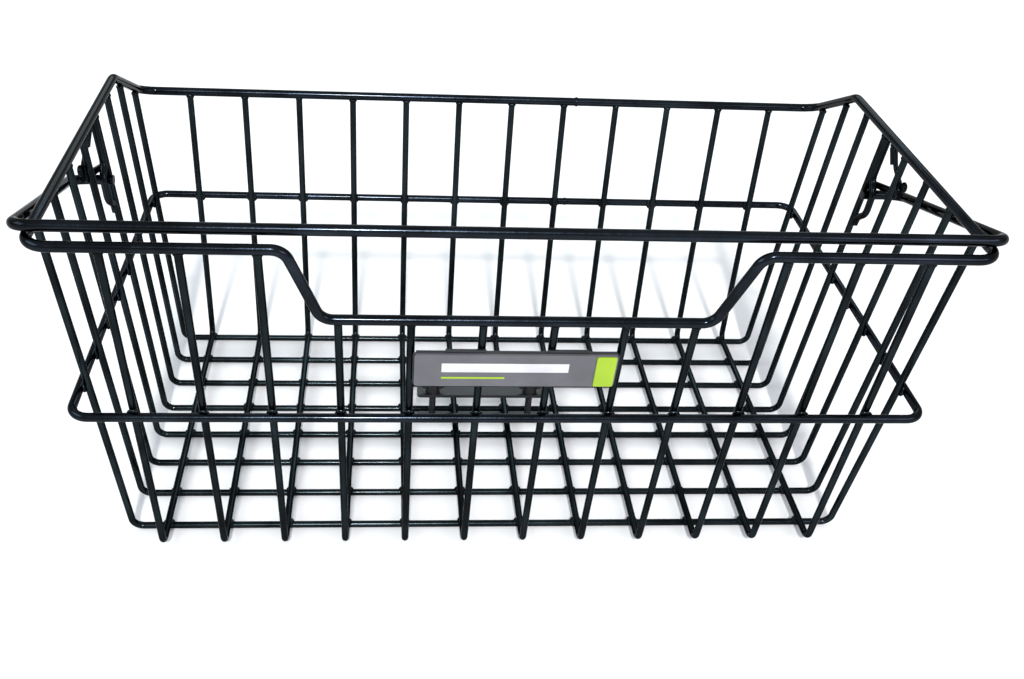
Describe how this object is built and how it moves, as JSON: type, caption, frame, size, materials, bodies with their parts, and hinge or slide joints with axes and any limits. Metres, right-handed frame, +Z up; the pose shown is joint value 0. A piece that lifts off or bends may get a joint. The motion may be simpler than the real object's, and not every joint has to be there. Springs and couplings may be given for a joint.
{
  "type": "bicycle carrier basket",
  "caption": "Open wire basket with a dipped front rim, a low back rim, a waist hoop, a folding wire bail handle and a bolted clamp under its floor for a luggage carrier.",
  "frame": {"origin": "middle of the rectangle that the basket covers, on the surface that it stands on", "axes": "+X along the basket's length, +Y from the dipped front wall to the low back wall, +Z up"},
  "size_m": [0.4616, 0.2408, 0.2181],
  "materials": {
    "black_coating": "glossy",
    "badge_grey": "satin",
    "badge_green": "satin",
    "badge_back": "satin",
    "black_plastic": "satin",
    "clamp_black": "satin",
    "zinc_bolt": "satin"
  },
  "bodies": {
    "basket": {"rim_wire": "black_coating", "waist_hoop": "black_coating", "cross_wire_01": "black_coating", "cross_wire_02": "black_coating", "cross_wire_03": "black_coating", "cross_wire_04": "black_coating", "cross_wire_05": "black_coating", "cross_wire_06": "black_coating", "cross_wire_07": "black_coating", "cross_wire_08": "black_coating", "cross_wire_09": "black_coating", "cross_wire_10": "black_coating", "cross_wire_11": "black_coating", "cross_wire_12": "black_coating", "long_wire_1": "black_coating", "long_wire_2": "black_coating", "long_wire_3": "black_coating", "long_wire_4": "black_coating", "long_wire_5": "black_coating", "long_wire_6": "black_coating", "long_wire_7": "black_coating", "long_wire_8": "black_coating", "pivot_bow_left": "black_coating", "pivot_hook_left": "black_coating", "pivot_keeper_left": "black_coating", "pivot_bow_right": "black_coating", "pivot_hook_right": "black_coating", "pivot_keeper_right": "black_coating", "badge_plate": "badge_grey", "badge_panel": "badge_green", "badge_clip_left": "badge_back", "badge_clip_right": "badge_back"},
    "handle": {"handle_bail": "black_coating"},
    "clamp": {"clamp_lower_strip": "clamp_black", "clamp_upper_strip": "clamp_black", "clamp_bolt_left": "zinc_bolt", "clamp_washer_left": "zinc_bolt", "clamp_bolt_right": "zinc_bolt", "clamp_washer_right": "zinc_bolt"},
    "nut_left": {"wing_nut_left": "black_plastic"},
    "nut_right": {"wing_nut_right": "black_plastic"}
  },
  "joints": [
    {"name": "handle_swing", "type": "hinge", "parent": "basket", "child": "handle", "pos_m": [0, 0.0145, 0.173], "axis": [-1, 0, 0], "range_deg": [0, 196]},
    {"name": "clamp_drop", "type": "slide", "parent": "basket", "child": "clamp", "axis": [0, 0, 1], "range_m": [-0.013, 0]},
    {"name": "wing_nut_left_turn", "type": "hinge", "parent": "clamp", "child": "nut_left", "pos_m": [-0.031, 0.02459, 0.02565], "axis": [0, 0, 1], "continuous": true},
    {"name": "wing_nut_right_turn", "type": "hinge", "parent": "clamp", "child": "nut_right", "pos_m": [0.031, 0.02459, 0.02565], "axis": [0, 0, 1], "continuous": true}
  ]
}
